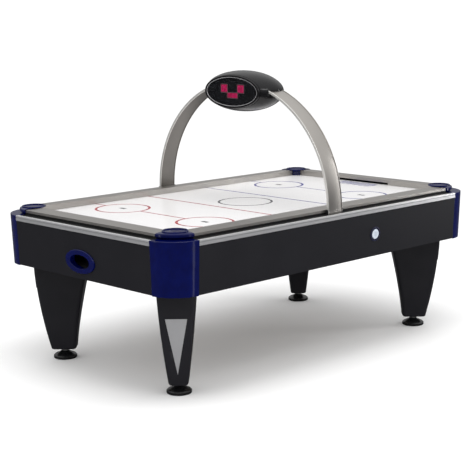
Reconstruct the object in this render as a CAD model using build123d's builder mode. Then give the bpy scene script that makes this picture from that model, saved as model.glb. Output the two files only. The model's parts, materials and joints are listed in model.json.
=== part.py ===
from build123d import *
import os

# An air hockey table with an overhead scoreboard on an arch.
# X runs along the table from the red end (-X) to the blue end (+X), Y across it from the front
# (-Y, the side with the start button) to the back, and Z up. All sizes are in millimetres.
# The origin is on the floor, under the middle of the table.

os.makedirs("parts", exist_ok=True)

# Cabinet
half_length = 1143.0  # middle of the table to the face of an end panel, at its top edge
half_width = 693.0  # middle of the table to the face of a side panel, at its top edge
corner_radius = 163.0  # plan radius of the corner posts
cabinet_bottom = 529.0
trim_bottom = 763.0
trim_top = 790.0
lean_in = 9.0  # the cabinet's faces lean in by this much from the trim to the bottom
panel_thickness = 18.0
post_wall = 12.0
post_plate = 5.0

# Playing surface, ledge and rails
ledge_top = 788.0
playfield_top = 784.0
playfield_thickness = 12.0
rail_outer = 52.0  # cabinet face to the outer face of a rail
rail_inner = 140.0  # cabinet face to the inner face of a rail
rail_end = 174.0  # cabinet face to the end of the rail that runs past it
rail_top_outer = 812.7
rail_top_inner = 816.7
rail_wall = 4.0
rail_skirt = 799.0  # lower edge of a rail's outer face, where its black plinth shows
plinth_inset = 1.5  # rail's outer face to the plinth's outer face
ledge_inner = 126.0  # cabinet face to the inner edge of a ledge board
gap = 0.5  # assembly gap between neighbouring boards

# Corner caps
cap_radius = 130.0
cap_foot_radius = 118.0
dish_centre = 134.0  # cabinet faces to the middle of the round dish
dish_radius = 63.0
dish_rim = 8.5
dish_depth = 5.0
dish_top = 824.5
neck_radius = 40.0
apex_chamfer = 32.0

# Legs and feet
foot_x = 915.0
foot_y = 458.0
leg_bottom = 52.0
leg_corner = 20.0  # radius of a leg's upright corners
inlay_top = 402.0
inlay_tip = 112.0
inlay_half_width = 53.0
inlay_proud = 0.8
inlay_depth = 2.5
brow_proud = 2.5  # the leg's face above the inlay stands this far out
foot_radius = 62.0
neck_of_foot = 20.0
stem_radius = 8.0
stem_reach = 60.0  # length of the stem inside the leg
bolt_radius = 5.0
bolt_head_radius = 9.5
bolt_head_height = 7.0
bolt_reach = 45.0  # length of a bolt inside the leg
block_thickness = 18.0

# Goals and puck returns
goal_half_width = 190.0
goal_height = 14.0
return_height = 618.0
return_hole = (152.0, 70.0)
return_bezel_size = (230.0, 121.0)
return_sleeve = 6.0  # wall of the sleeve that lines the hole in the panel

chute_wall = 3.0
chute_floor_back = 602.0
chute_floor_front = 584.0

# Start button and control box at the front panel, and the power inlet in the back panel
button_x = 281.0
button_z = 648.0
button_radius = 26.0
button_proud = 5.0
button_bezel_radius = 39.0
button_sleeve = 5.0  # wall of the sleeve round the button
control_box_size = (160.0, 44.0, 110.0)
control_box_centre = (480.0, -644.0, 645.0)
inlet_x = -860.0
inlet_z = 600.0
inlet_hole = (48.0, 28.0)

# Arch and scoreboard
arch_spring_height = 810.0
arch_half_span = 651.0
arch_rise = 628.0
arch_thickness = 14.0
arch_width = 108.0
board_height = 1390.0
board_semi_axes = (156.0, 255.0, 110.0)
board_half_depth = 87.0
shell_wall = 4.0
bezel_depth = 10.0
window_semi_axes = (192.5, 77.5)

# Air box, its beams, and the blower
air_box_size = (1920.0, 1040.0)
air_box_bottom = 700.0
air_box_wall = 12.0
beam_x = (-800.0, -370.0, 370.0, 800.0)
beam_size = (38.0, 68.0)  # width and depth
blower_z = 616.0
scroll_radius = 80.0
scroll_half_width = 42.0
scroll_wall = 3.0
impeller_radius = 58.0
blade_count = 24
shaft_radius = 6.0
shaft_clearance = 0.08
motor_radius = 46.0
motor_length = 84.0

corner_x = half_length - corner_radius
corner_y = half_width - corner_radius


def lean(height):
    """How far the cabinet's faces are inside their top edge at this height."""
    return lean_in * (trim_bottom - height) / (trim_bottom - cabinet_bottom)


def write(builder, name):
    """Labels a finished piece and writes its STEP file."""
    builder.part.label = name
    export_step(builder.part, f"parts/{name}.step")


def write_mirrored(builder, name, plane, named_side, mirrored_side):
    """Writes a piece and its mirror image across a plane through the middle of the table."""
    write(builder, f"{name}_{named_side}")
    with BuildPart() as twin:
        add(builder.part)
        mirror(about=plane, mode=Mode.REPLACE)
    write(twin, f"{name}_{mirrored_side}")


def write_corners(builder, name):
    """Writes the back blue corner's piece and its images at the other three corners."""
    write_mirrored(builder, f"{name}_back", Plane.YZ, "blue", "red")
    with BuildPart() as front:
        add(builder.part)
        mirror(about=Plane.XZ, mode=Mode.REPLACE)
    write_mirrored(front, f"{name}_front", Plane.YZ, "blue", "red")


def leaning_section(face):
    """Draws a panel's section: local x is the distance from the middle, local y the height."""
    with BuildLine() as outline:
        Polyline(
            (face, trim_bottom),
            (face - lean_in, cabinet_bottom),
            (face - lean_in - panel_thickness, cabinet_bottom),
            (face - panel_thickness, trim_bottom),
            close=True,
        )
    make_face(outline.edges())


# Planes on the leaning faces: z points out of the cabinet, and x runs along the face.
slope = lean_in / (trim_bottom - cabinet_bottom)
end_face = Plane(
    origin=(half_length - lean(return_height), 0, return_height),
    x_dir=(0, 1, 0),
    z_dir=(1, 0, -slope),
)
button_face = Plane(
    origin=(button_x, -half_width + lean(button_z), button_z),
    x_dir=(1, 0, 0),
    z_dir=(0, -1, -slope),
)
inlet_face = Plane(
    origin=(inlet_x, half_width - lean(inlet_z), inlet_z),
    x_dir=(-1, 0, 0),
    z_dir=(0, 1, -slope),
)

# ---------------------------------------------------------------- cabinet panels
with BuildPart() as front_panel:
    with BuildSketch(Plane(origin=(0, 0, 0), x_dir=(0, -1, 0), z_dir=(-1, 0, 0))):
        leaning_section(half_width)
    extrude(amount=corner_x, both=True)
    with BuildSketch(button_face):
        Circle(button_radius + button_sleeve + 1)
    extrude(amount=panel_thickness + 4, both=True, mode=Mode.SUBTRACT)
write(front_panel, "front_panel")

with BuildPart() as back_panel:
    with BuildSketch(Plane.YZ):
        leaning_section(half_width)
    extrude(amount=corner_x, both=True)
    with BuildSketch(inlet_face):
        Rectangle(*inlet_hole)
    extrude(amount=panel_thickness + 4, both=True, mode=Mode.SUBTRACT)
write(back_panel, "back_panel")

with BuildPart() as end_panel:
    with BuildSketch(Plane.XZ):
        leaning_section(half_length)
    extrude(amount=corner_y, both=True)
    with BuildSketch(end_face):
        Ellipse(return_hole[0] / 2 + return_sleeve + 1, return_hole[1] / 2 + return_sleeve + 1)
    extrude(amount=panel_thickness + 4, both=True, mode=Mode.SUBTRACT)
write_mirrored(end_panel, "end_panel", Plane.YZ, "blue", "red")

# ---------------------------------------------------------------- corner posts
corner_axis = Axis((corner_x, corner_y, 0), (0, 0, 1))
corner_plane = Plane(origin=(corner_x, corner_y, 0), x_dir=(1, 0, 0), z_dir=(0, -1, 0))
post_bottom = cabinet_bottom - 3
post_radius_bottom = corner_radius - lean(post_bottom)
post_radius_top = corner_radius - lean(trim_top)
post_apex_cut = 22.0  # takes the plate's inner corner back under the cap

with BuildPart() as post:
    with BuildSketch(corner_plane):
        with BuildLine():
            Polyline(
                (0, trim_top),
                (post_radius_top, trim_top),
                (post_radius_bottom, post_bottom),
                (post_radius_bottom - post_wall, post_bottom),
                (post_radius_top - post_wall, trim_top - post_plate),
                (0, trim_top - post_plate),
                close=True,
            )
        make_face()
    revolve(axis=corner_axis, revolution_arc=90)
    rim = post.edges().filter_by(GeomType.CIRCLE).group_by(Axis.Z)[-1].sort_by(SortBy.RADIUS)[-1]
    fillet(rim, radius=4)
    with BuildSketch(Plane.XY.offset(trim_top)):
        with BuildLine():
            Polyline(
                (corner_x, corner_y),
                (corner_x + post_apex_cut, corner_y),
                (corner_x, corner_y + post_apex_cut),
                close=True,
            )
        make_face()
    extrude(amount=-post_plate, mode=Mode.SUBTRACT)
write_corners(post, "corner_post")

# ---------------------------------------------------------------- aluminium trim round the edge
trim_out = 2.0
trim_back = 4.0
trim_lip = 14.0


def trim_section(face):
    """Draws the trim's section, with two lengthwise grooves in its face."""
    with BuildLine() as outline:
        Polyline(
            (face - trim_back, trim_bottom),
            (face + trim_out, trim_bottom),
            (face + trim_out, trim_top),
            (face - trim_lip, trim_top),
            (face - trim_lip, ledge_top),
            (face - trim_back, ledge_top),
            close=True,
        )
    make_face(outline.edges())
    groove_pitch = (trim_top - trim_bottom) / 3
    with Locations(
        (face + trim_out, trim_bottom + groove_pitch),
        (face + trim_out, trim_bottom + 2 * groove_pitch),
    ):
        Rectangle(3, 2.4, mode=Mode.SUBTRACT)


with BuildPart() as side_trim:
    with BuildSketch(Plane.YZ):
        trim_section(half_width)
    extrude(amount=corner_x - gap, both=True)
write_mirrored(side_trim, "side_trim", Plane.XZ, "back", "front")

with BuildPart() as end_trim:
    with BuildSketch(Plane.XZ):
        trim_section(half_length)
    extrude(amount=corner_y - gap, both=True)
write_mirrored(end_trim, "end_trim", Plane.YZ, "blue", "red")

# ---------------------------------------------------------------- ledge boards and playfield
ledge_outer_y = half_width - trim_back - gap
ledge_outer_x = half_length - trim_back - gap
ledge_inner_y = half_width - ledge_inner
ledge_inner_x = half_length - ledge_inner
notch_outer = half_length - 58  # the goal's drop slot reaches this far out


def plinth_strip(face):
    """Middle and width of the strip under a rail, whose outer face this far out carries it."""
    strip_outer = face - rail_outer - plinth_inset
    strip_inner = face - ledge_inner + 0.5
    return (strip_outer + strip_inner) / 2, strip_outer - strip_inner


plinth_y, plinth_width = plinth_strip(half_width)
plinth_x, _ = plinth_strip(half_length)

with BuildPart() as ledge_boards:
    with BuildSketch(Plane.XY.offset(trim_bottom)):
        with Locations(
            (0, (ledge_inner_y + ledge_outer_y) / 2), (0, -(ledge_inner_y + ledge_outer_y) / 2)
        ):
            Rectangle(2 * (corner_x - gap), ledge_outer_y - ledge_inner_y)
        with Locations(
            ((ledge_inner_x + ledge_outer_x) / 2, 0), (-(ledge_inner_x + ledge_outer_x) / 2, 0)
        ):
            Rectangle(ledge_outer_x - ledge_inner_x, 2 * (corner_y - gap))
        with Locations((notch_outer / 2, 0), (-notch_outer / 2, 0)):
            Rectangle(notch_outer, 2 * goal_half_width + 4, mode=Mode.SUBTRACT)
    extrude(amount=ledge_top - trim_bottom)
    with BuildSketch(Plane.XY.offset(ledge_top)):
        with Locations((0, plinth_y), (0, -plinth_y)):
            Rectangle(2 * (half_length - rail_end - gap), plinth_width)
        with Locations((plinth_x, 0), (-plinth_x, 0)):
            Rectangle(plinth_width, 2 * (half_width - rail_end - gap))
        with Locations((notch_outer / 2, 0), (-notch_outer / 2, 0)):
            Rectangle(notch_outer, 2 * goal_half_width + 4, mode=Mode.SUBTRACT)
    extrude(amount=rail_skirt - 0.3 - ledge_top)
write(ledge_boards, "ledge_boards")

with BuildPart() as playfield:
    with BuildSketch(Plane.XY.offset(playfield_top - playfield_thickness)):
        Rectangle(2 * (ledge_inner_x - gap), 2 * (ledge_inner_y - gap))
    extrude(amount=playfield_thickness)
write(playfield, "playfield")

# ---------------------------------------------------------------- rails
def rail_section(face, foot):
    """Draws a rail's section, a channel open downwards whose top falls gently outwards."""
    outer = face - rail_outer
    inner = face - rail_inner
    with BuildLine() as outline:
        Polyline(
            (outer, rail_skirt),
            (outer, rail_top_outer),
            (inner, rail_top_inner),
            (inner, foot),
            (inner + rail_wall, foot),
            (inner + rail_wall, rail_top_inner - rail_wall),
            (outer - rail_wall, rail_top_outer - rail_wall),
            (outer - rail_wall, rail_skirt),
            close=True,
        )
    shape = make_face(outline.edges())
    fillet(shape.vertices().group_by(Axis.Y)[-1], radius=3)
    fillet(shape.vertices().group_by(Axis.Y)[-2].sort_by(Axis.X)[-1:], radius=3)


rail_foot = playfield_top + 0.3
with BuildPart() as side_rail:
    with BuildSketch(Plane.YZ):
        rail_section(half_width, rail_foot)
    extrude(amount=half_length - rail_end - gap, both=True)
write_mirrored(side_rail, "side_rail", Plane.XZ, "back", "front")

with BuildPart() as end_rail:
    with BuildSketch(Plane.XZ):
        rail_section(half_length, rail_foot)
    extrude(amount=half_width - rail_end - gap, both=True)
    with BuildSketch(Plane.YZ.offset(half_length - rail_inner - 1)):
        with Locations((0, playfield_top + goal_height / 2)):
            Rectangle(2 * goal_half_width, goal_height)
    extrude(amount=rail_wall + 2, mode=Mode.SUBTRACT)
write_mirrored(end_rail, "end_rail", Plane.YZ, "blue", "red")

# ---------------------------------------------------------------- corner caps
# A cap is a quarter disc on top of the post, with a domed top, and a round dish over the inner
# corner of the rails. The dish stands on a flared neck in the corner of the playfield.
cap_x = half_length - rail_end
cap_y = half_width - rail_end
cap_axis = Axis((cap_x, cap_y, 0), (0, 0, 1))
cap_plane = Plane(origin=(cap_x, cap_y, 0), x_dir=(1, 0, 0), z_dir=(0, -1, 0))
dish_x = half_length - dish_centre
dish_y = half_width - dish_centre
dish_axis = Axis((dish_x, dish_y, 0), (0, 0, 1))
dish_plane = Plane(origin=(dish_x, dish_y, 0), x_dir=(1, 0, 0), z_dir=(0, -1, 0))
dish_underside = rail_top_inner + 0.6
neck_bottom = playfield_top + 0.3
flare_start = neck_bottom + 13
cap_widest = trim_top + 11
dish_step = 6.0  # the dish's rim stands this far above the dome
dome_top = dish_top - dish_step
dome_radius = 140.0
rim_round = 3.6

with BuildPart() as neck:
    with BuildSketch(dish_plane):
        with BuildLine():
            side = Polyline(
                (dish_radius - 2, dish_underside),
                (0, dish_underside),
                (0, neck_bottom),
                (neck_radius, neck_bottom),
                (neck_radius, flare_start),
            )
            Spline(side @ 1, side @ 0, tangents=((0, 1), (1, 0.4)))
        make_face()
    revolve(axis=dish_axis)
    inner_corner = (half_length - rail_inner - gap, half_width - rail_inner - gap)
    with BuildSketch(Plane.XY.offset(neck_bottom)):
        with Locations(inner_corner):
            Rectangle(2 * dish_radius, 2 * dish_radius, align=(Align.MAX, Align.MAX))
    extrude(amount=dish_underside - neck_bottom, mode=Mode.INTERSECT)
    add(post.part, mode=Mode.SUBTRACT)

with BuildPart() as cap:
    with BuildSketch(cap_plane):
        with BuildLine():
            Polyline(
                (0, dish_top),
                (0, trim_top),
                (cap_foot_radius, trim_top),
                (cap_radius, cap_widest),
                (cap_radius, dish_top),
                close=True,
            )
        make_face()
    revolve(axis=cap_axis, revolution_arc=90)
    with BuildSketch(dish_plane):
        with BuildLine():
            top = Line((0, dome_top), (dish_radius, dome_top))
            dome = JernArc(top @ 1, (1, 0), dome_radius, -32)
            Polyline(dome @ 1, ((dome @ 1).X, trim_top), (0, trim_top), (0, dome_top))
        make_face()
    revolve(axis=dish_axis, mode=Mode.INTERSECT)
    with BuildSketch(Plane.XY.offset(trim_top)):
        with BuildLine():
            Polyline(
                (cap_x, cap_y), (cap_x + apex_chamfer, cap_y), (cap_x, cap_y + apex_chamfer), close=True
            )
        make_face()
    extrude(amount=dish_underside - trim_top, mode=Mode.SUBTRACT)
    shoulder = cap.edges().filter_by(GeomType.CIRCLE, reverse=True).sort_by(Edge.length)[-1]
    fillet(shoulder, radius=8)
    with BuildSketch(Plane.XY.offset(dish_underside)):
        with Locations((dish_x, dish_y)):
            Circle(dish_radius)
    extrude(amount=dish_top - dish_underside)
    add(neck.part)
    with BuildSketch(Plane.XY.offset(dish_top)):
        with Locations((dish_x, dish_y)):
            Circle(dish_radius - dish_rim)
    extrude(amount=-dish_depth, mode=Mode.SUBTRACT)
    fillet(cap.faces().filter_by(Axis.Z).sort_by(Axis.Z)[-1].edges(), radius=rim_round)
write_corners(cap, "corner_cap")

# ---------------------------------------------------------------- legs, inlays and feet
# A leg's section is measured in the upright plane through the table's corner: out is towards
# the corner, and across is at right angles to it. t runs from 0 at the leg's foot to 1 at its top.
out = Vector(1, 1, 0).normalized()
leg_frame = Plane(origin=(foot_x, foot_y, 0), x_dir=out, z_dir=(0, 0, 1))
leg_front = Plane(origin=(foot_x, foot_y, 0), x_dir=(-1, 1, 0), z_dir=out)
leg_levels = (0.0, 0.12, 0.3, 0.5, 0.7, 0.85, 1.0)


def leg_outside(t):
    """Reach of the leg towards the corner: it bulges out from the foot to the top."""
    return 67 + 69 * (1 - (1 - t) ** 1.7)


def leg_inside(t):
    """Reach of the leg towards the middle of the table: it sweeps in more and more."""
    return 64 + 86 * t**1.35


def leg_half_width(t):
    """Half of the leg's width across."""
    return 47 + 46 * (1.4 * t - 0.4 * t * t)


bolt_places = [(out_by, across_by) for out_by in (-90, 80) for across_by in (-50, 50)]

with BuildPart() as leg_blank:
    for t in leg_levels:
        height = leg_bottom + t * (cabinet_bottom - leg_bottom)
        with BuildSketch(leg_frame.offset(height)):
            with Locations(((leg_outside(t) - leg_inside(t)) / 2, 0)):
                RectangleRounded(leg_outside(t) + leg_inside(t), 2 * leg_half_width(t), leg_corner)
    loft()
    fillet(leg_blank.faces().sort_by(Axis.Z)[0].edges(), radius=leg_corner - 8)

with BuildPart() as inlay:
    add(leg_blank.part.moved(Location(out * inlay_proud)))
    with BuildSketch(leg_front):
        with BuildLine():
            Polyline((-inlay_half_width, inlay_top), (0, inlay_tip), (inlay_half_width, inlay_top))
            ThreePointArc(
                (-inlay_half_width, inlay_top), (0, inlay_top - 4), (inlay_half_width, inlay_top)
            )
        make_face()
    extrude(amount=2 * half_width, mode=Mode.INTERSECT)
    add(leg_blank.part.moved(Location(out * -inlay_depth)), mode=Mode.SUBTRACT)
write_corners(inlay, "leg_inlay")

with BuildPart() as brow:
    add(leg_blank.part.moved(Location(out * brow_proud)))
    with BuildSketch(leg_front):
        with BuildLine():
            ThreePointArc((-half_width, inlay_top), (0, inlay_top - 4), (half_width, inlay_top))
            Polyline(
                (half_width, inlay_top),
                (half_width, cabinet_bottom),
                (-half_width, cabinet_bottom),
                (-half_width, inlay_top),
            )
        make_face()
    extrude(amount=2 * half_width, mode=Mode.INTERSECT)

with BuildPart() as leg:
    add(leg_blank.part)
    add(brow.part)
    add(inlay.part, mode=Mode.SUBTRACT)
    with BuildSketch(leg_frame.offset(leg_bottom)):
        Circle(stem_radius + 0.3)
    extrude(amount=stem_reach + 20, mode=Mode.SUBTRACT)
    with BuildSketch(leg_frame.offset(cabinet_bottom)):
        with Locations(*bolt_places):
            Circle(bolt_radius + 0.1)
    extrude(amount=-(bolt_reach + 7), mode=Mode.SUBTRACT)
write_corners(leg, "leg")

foot_axis = Axis((foot_x, foot_y, 0), (0, 0, 1))
with BuildPart() as foot:
    with BuildSketch(Plane(origin=(foot_x, foot_y, 0), x_dir=(1, 0, 0), z_dir=(0, -1, 0))):
        with BuildLine():
            Polyline(
                (0, 0),
                (foot_radius - 3, 0),
                (foot_radius, 3),
                (foot_radius, 14),
                (foot_radius - 7, 21),
                (neck_of_foot + 6, 34),
                (neck_of_foot, 41),
                (neck_of_foot, leg_bottom - 0.3),
                (stem_radius, leg_bottom - 0.3),
                (stem_radius, leg_bottom + stem_reach),
                (0, leg_bottom + stem_reach),
                close=True,
            )
        make_face()
    revolve(axis=foot_axis)
write_corners(foot, "levelling_foot")

block_outer_x = half_length - lean_in - panel_thickness - 4
block_outer_y = half_width - lean_in - panel_thickness - 4
with BuildPart() as corner_blocks:
    with BuildSketch(Plane.XY.offset(cabinet_bottom)) as block_plan:
        with BuildLine():
            Polyline(
                (block_outer_x, block_outer_y - 332),
                (block_outer_x, block_outer_y),
                (block_outer_x - 412, block_outer_y),
                (block_outer_x - 412, block_outer_y - 102),
                (block_outer_x - 152, block_outer_y - 332),
                close=True,
            )
        make_face()
        fillet(block_plan.vertices().sort_by(Axis((0, 0, 0), (1, 1, 0)))[-1], radius=132)
        with Locations(leg_frame.location):
            with Locations(*bolt_places):
                Circle(bolt_radius + 0.3, mode=Mode.SUBTRACT)
    extrude(amount=block_thickness)
    mirror(about=Plane.YZ)
    mirror(about=Plane.XZ)
write(corner_blocks, "corner_blocks")

with BuildPart() as leg_bolts:
    with BuildSketch(leg_frame.offset(cabinet_bottom + block_thickness)):
        with Locations(*bolt_places):
            RegularPolygon(bolt_head_radius, 6)
    extrude(amount=bolt_head_height)
    with BuildSketch(leg_frame.offset(cabinet_bottom + block_thickness)):
        with Locations(*bolt_places):
            Circle(bolt_radius)
    extrude(amount=-(block_thickness + bolt_reach))
    mirror(about=Plane.YZ)
    mirror(about=Plane.XZ)
write(leg_bolts, "leg_bolts")

# ---------------------------------------------------------------- goals and puck returns
chute_back = ledge_inner_x + 5
chute_front = half_length - 31
chute_half_width = goal_half_width + 2

with BuildPart() as goal_chute:
    with BuildSketch(Plane.XZ):
        with BuildLine():
            Polyline(
                (chute_back, trim_bottom - gap),
                (chute_back, chute_floor_back),
                (chute_front, chute_floor_front),
                (chute_front, chute_floor_front - chute_wall),
                (chute_back - chute_wall, chute_floor_back - chute_wall),
                (chute_back - chute_wall, trim_bottom - gap),
                close=True,
            )
        make_face()
    extrude(amount=chute_half_width, both=True)
    for side in (-1, 1):
        with BuildSketch(Plane.XZ.offset(side * chute_half_width)):
            with BuildLine():
                Polyline(
                    (chute_back - chute_wall, trim_bottom - gap),
                    (chute_back - chute_wall, chute_floor_back - chute_wall),
                    (chute_front, chute_floor_front - chute_wall),
                    (chute_front, trim_bottom - gap),
                    close=True,
                )
            make_face()
        extrude(amount=side * chute_wall)
write_mirrored(goal_chute, "goal_chute", Plane.YZ, "blue", "red")

with BuildPart() as return_bezel:
    with BuildSketch(end_face):
        Ellipse(return_bezel_size[0] / 2, return_bezel_size[1] / 2)
    extrude(amount=8)
    front_edge = return_bezel.edges().sort_by(Axis.X)[-1]
    fillet(front_edge, radius=5)
    with BuildSketch(end_face):
        Ellipse(return_hole[0] / 2 + return_sleeve, return_hole[1] / 2 + return_sleeve)
    extrude(amount=-(panel_thickness + 4))
    with BuildSketch(end_face.offset(10)):
        Ellipse(return_hole[0] / 2, return_hole[1] / 2)
    extrude(amount=-(panel_thickness + 20), mode=Mode.SUBTRACT)
write_mirrored(return_bezel, "return_bezel", Plane.YZ, "blue", "red")

# ---------------------------------------------------------------- start button
with BuildPart() as button_bezel:
    with BuildSketch(button_face):
        Circle(button_bezel_radius)
    extrude(amount=3.5)
    fillet(button_bezel.edges().sort_by(Axis.Y)[0], radius=2)
    with BuildSketch(button_face):
        Circle(button_radius + button_sleeve)
    extrude(amount=-(panel_thickness + 4))
    with BuildSketch(button_face.offset(button_proud)):
        Circle(button_radius + 0.6)
    extrude(amount=-(panel_thickness + 14), mode=Mode.SUBTRACT)
write(button_bezel, "button_bezel")

with BuildPart() as start_button:
    with BuildSketch(button_face.offset(-panel_thickness)):
        Circle(button_radius)
    extrude(amount=panel_thickness + button_proud)
    fillet(start_button.edges().sort_by(Axis.Y)[0], radius=3)
write(start_button, "start_button")

with BuildPart() as control_box:
    with Locations(control_box_centre):
        Box(*control_box_size)
    fillet(control_box.edges(), radius=4)
write(control_box, "control_box")

# ---------------------------------------------------------------- power inlet
with BuildPart() as power_inlet:
    with BuildSketch(inlet_face):
        RectangleRounded(60, 38, 5)
    extrude(amount=3)
    with BuildSketch(inlet_face):
        Rectangle(inlet_hole[0] - 2, inlet_hole[1] - 2)
    extrude(amount=-30)
    with BuildSketch(inlet_face.offset(3)):
        RectangleRounded(32, 20, 4)
    extrude(amount=-20, mode=Mode.SUBTRACT)
    with BuildSketch(inlet_face.offset(-17)):
        with Locations((-9, -3), (0, 3), (9, -3)):
            Rectangle(2, 5)
    extrude(amount=14)
write(power_inlet, "power_inlet")

# ---------------------------------------------------------------- beams, air box and blower
beam_length = 2 * (half_width - panel_thickness - lean(air_box_bottom - beam_size[1]) - gap)
with BuildPart() as cross_members:
    with BuildSketch(Plane.XY.offset(air_box_bottom - beam_size[1])):
        for x in beam_x:
            with Locations((x, 0)):
                Rectangle(beam_size[0], beam_length)
    extrude(amount=beam_size[1] - gap)
write(cross_members, "cross_members")

duct_inner = 11.0
duct_outer = scroll_radius - scroll_wall
with BuildPart() as air_box:
    with BuildSketch(Plane.XY.offset(air_box_bottom)):
        Rectangle(*air_box_size)
    extrude(amount=playfield_top - playfield_thickness - gap - air_box_bottom)
    with BuildSketch(Plane.XY.offset(air_box_bottom + air_box_wall)):
        Rectangle(air_box_size[0] - 2 * air_box_wall, air_box_size[1] - 2 * air_box_wall)
    extrude(amount=playfield_top - air_box_bottom, mode=Mode.SUBTRACT)
    with BuildSketch(Plane.XY.offset(air_box_bottom)):
        with Locations(((duct_inner + duct_outer) / 2, 0)):
            Rectangle(duct_outer - duct_inner, 2 * (scroll_half_width - scroll_wall))
    extrude(amount=air_box_wall, mode=Mode.SUBTRACT)
write(air_box, "air_box")

duct_height = air_box_bottom - gap - blower_z
blower_plane = Plane.XZ  # local x is X and local y is Z, so a positive offset goes to the front
with BuildPart() as blower_housing:
    with BuildSketch(blower_plane):
        with Locations((0, blower_z)):
            Circle(scroll_radius)
            with Locations(((duct_inner - scroll_wall + scroll_radius) / 2, duct_height / 2)):
                Rectangle(scroll_radius - duct_inner + scroll_wall, duct_height)
    extrude(amount=scroll_half_width, both=True)
    with BuildSketch(blower_plane):
        with Locations((0, blower_z)):
            Circle(scroll_radius - scroll_wall)
            with Locations(((duct_inner + duct_outer) / 2, duct_height / 2 + 1)):
                Rectangle(duct_outer - duct_inner, duct_height + 2)
    extrude(amount=scroll_half_width - scroll_wall, both=True, mode=Mode.SUBTRACT)
    with BuildSketch(blower_plane.offset(scroll_half_width)):
        with Locations((0, blower_z)):
            Circle(impeller_radius - 14)
    extrude(amount=-(scroll_wall + 1), mode=Mode.SUBTRACT)
    with BuildSketch(blower_plane.offset(-scroll_half_width)):
        with Locations((0, blower_z)):
            Circle(shaft_radius + 4)
    extrude(amount=scroll_wall + 1, mode=Mode.SUBTRACT)
write(blower_housing, "blower_housing")

with BuildPart() as blower_motor:
    with BuildSketch(blower_plane.offset(-scroll_half_width)):
        with Locations((0, blower_z)):
            Circle(motor_radius)
    extrude(amount=-motor_length)
    fillet(blower_motor.edges().sort_by(Axis.Y)[-1], radius=8)
    with BuildSketch(blower_plane.offset(-scroll_half_width)):
        with Locations((0, blower_z)):
            Circle(shaft_radius + shaft_clearance)
    extrude(amount=-(motor_length - 44), mode=Mode.SUBTRACT)
write(blower_motor, "blower_motor")

with BuildPart() as blower_shaft:
    with BuildSketch(blower_plane.offset(34)):
        with Locations((0, blower_z)):
            Circle(shaft_radius)
    extrude(amount=-(34 + scroll_half_width + 36))
write(blower_shaft, "blower_shaft")

plate_thickness = 3.0
cage_half_length = 33.0
with BuildPart() as blower_impeller:
    with BuildSketch(blower_plane.offset(-cage_half_length)):
        with Locations((0, blower_z)):
            Circle(impeller_radius)
    extrude(amount=plate_thickness)
    with BuildSketch(blower_plane.offset(-cage_half_length)):
        with Locations((0, blower_z)):
            Circle(14)
    extrude(amount=26)
    with BuildSketch(blower_plane.offset(-cage_half_length)):
        with Locations((0, blower_z)):
            with PolarLocations(impeller_radius - 7, blade_count):
                Rectangle(11, 1.6, rotation=35)
    extrude(amount=2 * cage_half_length)
    with BuildSketch(blower_plane.offset(cage_half_length)):
        with Locations((0, blower_z)):
            Circle(impeller_radius)
            Circle(impeller_radius - 14, mode=Mode.SUBTRACT)
    extrude(amount=-plate_thickness)
    with BuildSketch(blower_plane.offset(cage_half_length)):
        with Locations((0, blower_z)):
            Circle(shaft_radius)
    extrude(amount=-2 * cage_half_length, mode=Mode.SUBTRACT)
write(blower_impeller, "blower_impeller")

# ---------------------------------------------------------------- arch
def arch_ring(margin):
    """Draws the arch's section in the upright plane across the table, grown by a margin."""
    half = arch_thickness / 2 + margin
    with Locations((0, arch_spring_height)):
        Ellipse(arch_half_span + half, arch_rise + half)
        Ellipse(arch_half_span - half, arch_rise - half, mode=Mode.SUBTRACT)
    with Locations((0, arch_spring_height - half_width)):
        Rectangle(3 * half_width, 2 * half_width, mode=Mode.SUBTRACT)


arch_foot = arch_spring_height - ledge_top - 0.3
with BuildPart() as arch:
    with BuildSketch(Plane.YZ):
        arch_ring(0)
        with Locations(
            (arch_half_span, arch_spring_height - arch_foot / 2),
            (-arch_half_span, arch_spring_height - arch_foot / 2),
        ):
            Rectangle(arch_thickness, arch_foot)
    extrude(amount=arch_width / 2, both=True)
    side_edges = arch.faces().filter_by(Axis.X).edges().filter_by(Axis.Y, reverse=True)
    fillet(side_edges, radius=5)
write(arch, "arch")

socket_height = 25.0
socket_wall = 3.7
with BuildPart() as arch_sockets:
    for side in (-1, 1):
        inner_face = side * (half_width - rail_outer + 0.3)
        outer_face = side * (arch_half_span + arch_thickness / 2)
        with BuildSketch(Plane.XY.offset(ledge_top)):
            with Locations((0, (inner_face + outer_face) / 2)):
                Rectangle(arch_width + 0.6 + 2 * socket_wall, abs(outer_face - inner_face))
            with Locations((0, side * arch_half_span)):
                Rectangle(arch_width + 0.6, arch_thickness + 0.6, mode=Mode.SUBTRACT)
        extrude(amount=socket_height)
write(arch_sockets, "arch_sockets")

# ---------------------------------------------------------------- scoreboard
def egg_slice(x, inset):
    """Draws the housing's section at x: an ellipse that shrinks towards the two faces."""
    scale = (1 - (x / board_semi_axes[0]) ** 2) ** 0.5
    with Locations((0, board_height)):
        Ellipse(board_semi_axes[1] * scale - inset, board_semi_axes[2] * scale - inset)


slices = [board_half_depth * k / 3 for k in range(-3, 4)]
with BuildPart() as housing:
    for x in slices:
        with BuildSketch(Plane.YZ.offset(x)):
            egg_slice(x, 0)
    loft()
with BuildPart() as housing_core:
    for x in slices:
        with BuildSketch(Plane.YZ.offset(x)):
            egg_slice(x, shell_wall)
    loft()
with BuildPart() as housing_shell:
    add(housing.part)
    add(housing_core.part, mode=Mode.SUBTRACT)
    with BuildSketch(Plane.YZ):
        arch_ring(1.0)
    extrude(amount=arch_width / 2 + 1, both=True, mode=Mode.SUBTRACT)

for half_name, keep in (("upper", Keep.TOP), ("lower", Keep.BOTTOM)):
    with BuildPart() as half_shell:
        add(housing_shell.part)
        split(bisect_by=Plane.XY.offset(board_height), keep=keep)
    write(half_shell, f"scoreboard_shell_{half_name}")

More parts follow.
